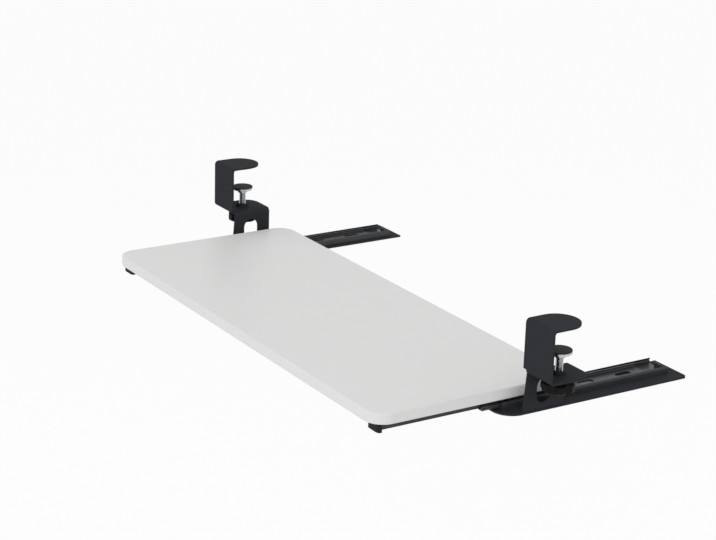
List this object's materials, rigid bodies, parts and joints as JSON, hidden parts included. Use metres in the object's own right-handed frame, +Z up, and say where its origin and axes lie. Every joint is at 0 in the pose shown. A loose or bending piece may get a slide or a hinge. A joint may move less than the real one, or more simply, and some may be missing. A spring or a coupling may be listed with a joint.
{
  "type": "clamp-on keyboard tray",
  "caption": "Pale sliding keyboard board on flat telescopic slides, hung under a desk edge by black bent-sheet screw clamps with lobed knobs.",
  "frame": {"origin": "middle of the desk's front top edge, between the clamps", "axes": "+X to the user's right, +Y into the desk, +Z up"},
  "size_m": [0.829, 0.4573, 0.1253],
  "materials": {
    "board": "satin pale laminate",
    "bracket": "fine black powder coat",
    "liner": "soft foam",
    "zinc": "bright zinc",
    "knob": "moulded, fine grain",
    "rail": "black electrocoat",
    "cage": "rolled strip",
    "ball": "polished",
    "stop": "moulded"
  },
  "bodies": {
    "mount": {"left_clamp_bracket": "bracket", "right_clamp_bracket": "bracket", "left_tongue_liner": "liner", "right_tongue_liner": "liner", "left_weld_nut": "bracket", "right_weld_nut": "bracket", "left_outer_rail": "rail", "right_outer_rail": "rail", "left_rail_rivets": "rail", "right_rail_rivets": "rail"},
    "tray": {"tray_board": "board", "left_inner_rail": "rail", "right_inner_rail": "rail", "left_front_stop": "stop", "right_front_stop": "stop", "left_tray_screws": "zinc", "right_tray_screws": "zinc"},
    "left_middle_rail": {"left_middle_rail": "rail"},
    "left_outer_cage": {"left_outer_cage": "cage", "left_outer_balls": "ball"},
    "left_inner_cage": {"left_inner_cage": "cage", "left_inner_balls": "ball"},
    "left_pad": {"left_pressure_pad": "zinc", "left_pad_liner": "liner"},
    "left_screw": {"left_clamp_screw": "zinc", "left_clamp_knob": "knob"},
    "right_middle_rail": {"right_middle_rail": "rail"},
    "right_outer_cage": {"right_outer_cage": "cage", "right_outer_balls": "ball"},
    "right_inner_cage": {"right_inner_cage": "cage", "right_inner_balls": "ball"},
    "right_pad": {"right_pressure_pad": "zinc", "right_pad_liner": "liner"},
    "right_screw": {"right_clamp_screw": "zinc", "right_clamp_knob": "knob"}
  },
  "joints": [
    {"name": "left_rail_slide", "type": "slide", "parent": "mount", "child": "left_middle_rail", "axis": [0, 1, 0], "range_m": [-0.11, 0.027]},
    {"name": "right_rail_slide", "type": "slide", "parent": "mount", "child": "right_middle_rail", "axis": [0, 1, 0], "range_m": [-0.11, 0.027]},
    {"name": "tray_slide", "type": "slide", "parent": "left_middle_rail", "child": "tray", "axis": [0, 1, 0], "range_m": [0, 0.14]},
    {"name": "left_outer_cage_roll", "type": "slide", "parent": "mount", "child": "left_outer_cage", "axis": [0, 1, 0], "range_m": [-0.055, 0.0135]},
    {"name": "left_inner_cage_roll", "type": "slide", "parent": "left_middle_rail", "child": "left_inner_cage", "axis": [0, 1, 0], "range_m": [0, 0.07]},
    {"name": "right_outer_cage_roll", "type": "slide", "parent": "mount", "child": "right_outer_cage", "axis": [0, 1, 0], "range_m": [-0.055, 0.0135]},
    {"name": "right_inner_cage_roll", "type": "slide", "parent": "right_middle_rail", "child": "right_inner_cage", "axis": [0, 1, 0], "range_m": [0, 0.07]},
    {"name": "left_pad_lift", "type": "slide", "parent": "mount", "child": "left_pad", "axis": [0, 0, 1], "range_m": [-0.01, 0.0065]},
    {"name": "left_knob_turn", "type": "hinge", "parent": "left_pad", "child": "left_screw", "pos_m": [-0.38725, 0.0297, -0.0775], "axis": [0, 0, 1], "range_deg": [-2424, 1584]},
    {"name": "right_pad_lift", "type": "slide", "parent": "mount", "child": "right_pad", "axis": [0, 0, 1], "range_m": [-0.01, 0.0065]},
    {"name": "right_knob_turn", "type": "hinge", "parent": "right_pad", "child": "right_screw", "pos_m": [0.38725, 0.0297, -0.0775], "axis": [0, 0, 1], "range_deg": [-2424, 1584]}
  ],
  "couplings": [
    {"joint": "right_rail_slide", "follows": "left_rail_slide", "ratio": 1},
    {"joint": "left_outer_cage_roll", "follows": "left_rail_slide", "ratio": 0.5},
    {"joint": "left_inner_cage_roll", "follows": "tray_slide", "ratio": 0.5},
    {"joint": "right_outer_cage_roll", "follows": "left_rail_slide", "ratio": 0.5},
    {"joint": "right_inner_cage_roll", "follows": "tray_slide", "ratio": 0.5},
    {"joint": "left_knob_turn", "follows": "left_pad_lift", "rad_per_m": 4188.8},
    {"joint": "right_knob_turn", "follows": "right_pad_lift", "rad_per_m": 4188.8}
  ]
}
